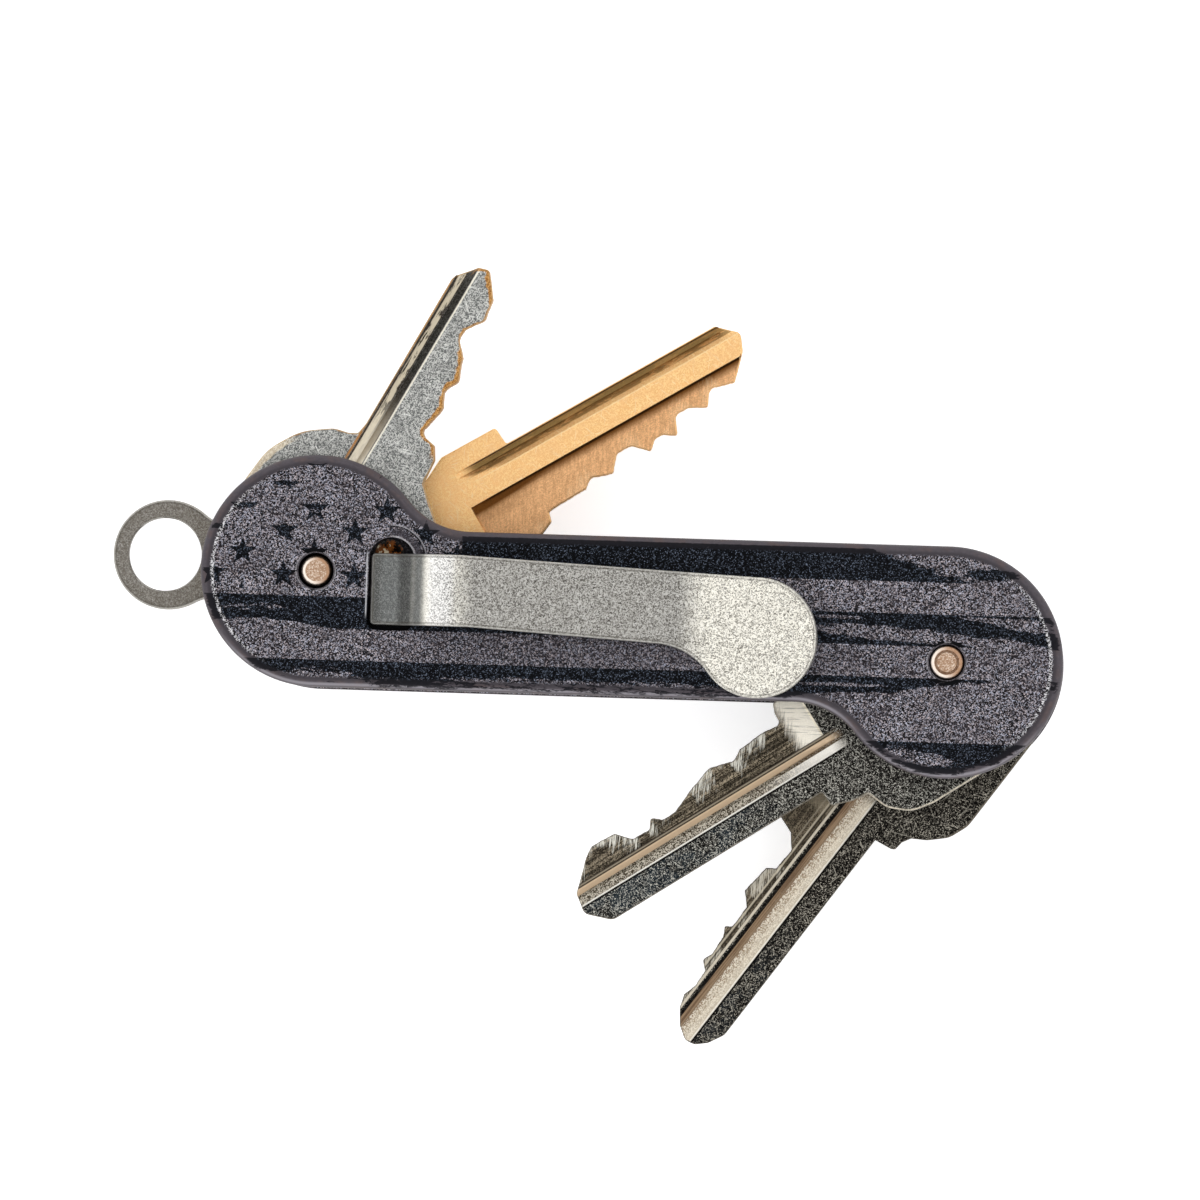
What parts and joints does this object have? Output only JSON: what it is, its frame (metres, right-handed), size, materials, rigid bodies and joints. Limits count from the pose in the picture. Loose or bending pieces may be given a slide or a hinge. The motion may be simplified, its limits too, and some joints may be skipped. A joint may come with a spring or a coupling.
{
  "type": "key organizer",
  "caption": "Pocket key organizer: an S-shaped handle of stacked plates with swing-out keys on end posts, a ring loop and a sprung pocket clip.",
  "frame": {"origin": "on the back face of the back scale, half way between the two posts", "axes": "+X along the handle from the left post's end to the right post's end, +Y across it towards the side where the left lobe stands out, +Z out of the front scale, the side with the clip"},
  "size_m": [0.0978, 0.0786, 0.0199],
  "materials": {
    "coating": "fine textured mauve-grey coating, with a worn black print on the front",
    "post_steel": "smooth, copper tinted",
    "steel": "tumbled, slightly worn",
    "nickel": "nickel plate over brass, scuffed",
    "brass": "used, slightly tarnished",
    "bronze": "plain thin sheet",
    "nylon": "plain"
  },
  "bodies": {
    "handle": {"front_scale": "coating", "back_scale": "coating", "left_post": "post_steel", "right_post": "post_steel", "left_lock_nut": "steel", "right_lock_nut": "steel", "left_nut_insert": "nylon", "right_nut_insert": "nylon", "clip_rivet": "steel", "left_shim": "steel", "left_spacer": "steel", "right_rear_spacer": "steel", "right_front_spacer": "steel", "left_washer_1": "bronze", "left_washer_2": "bronze", "left_washer_3": "bronze", "left_washer_4": "bronze", "left_washer_5": "bronze", "right_washer_1": "bronze", "right_washer_2": "bronze", "right_washer_3": "bronze", "right_washer_4": "bronze", "right_washer_5": "bronze"},
    "clip": {"pocket_clip": "steel"},
    "loop": {"anchor_loop": "steel"},
    "small_key": {"small_nickel_key": "nickel"},
    "yellow_key": {"brass_key": "brass"},
    "front_key": {"front_nickel_key": "nickel"},
    "rear_key": {"rear_nickel_key": "nickel"}
  },
  "joints": [
    {"name": "small_key_hinge", "type": "hinge", "parent": "handle", "child": "small_key", "pos_m": [-0.0322, 0.00367, 0.0126], "axis": [0, 0, 1], "range_deg": [-60.95, 119.05]},
    {"name": "brass_key_hinge", "type": "hinge", "parent": "handle", "child": "yellow_key", "pos_m": [-0.0322, 0.00367, 0.0074], "axis": [0, 0, 1], "range_deg": [-31.15, 148.85]},
    {"name": "front_key_hinge", "type": "hinge", "parent": "handle", "child": "front_key", "pos_m": [0.0322, -0.00367, 0.01005], "axis": [0, 0, 1], "range_deg": [-33.25, 146.75]},
    {"name": "rear_key_hinge", "type": "hinge", "parent": "handle", "child": "rear_key", "pos_m": [0.0322, -0.00367, 0.00475], "axis": [0, 0, 1], "range_deg": [-54.05, 125.95]},
    {"name": "loop_hinge", "type": "hinge", "parent": "handle", "child": "loop", "pos_m": [-0.0322, 0.00367, 0.00445], "axis": [0, 0, 1], "range_deg": [-109.8, 87.2]},
    {"name": "clip_spring", "type": "hinge", "parent": "handle", "child": "clip", "pos_m": [-0.0249, 0.002, 0.0161], "axis": [0, -1, 0], "range_deg": [0, 4], "stiffness_Nm_per_rad": 5}
  ]
}
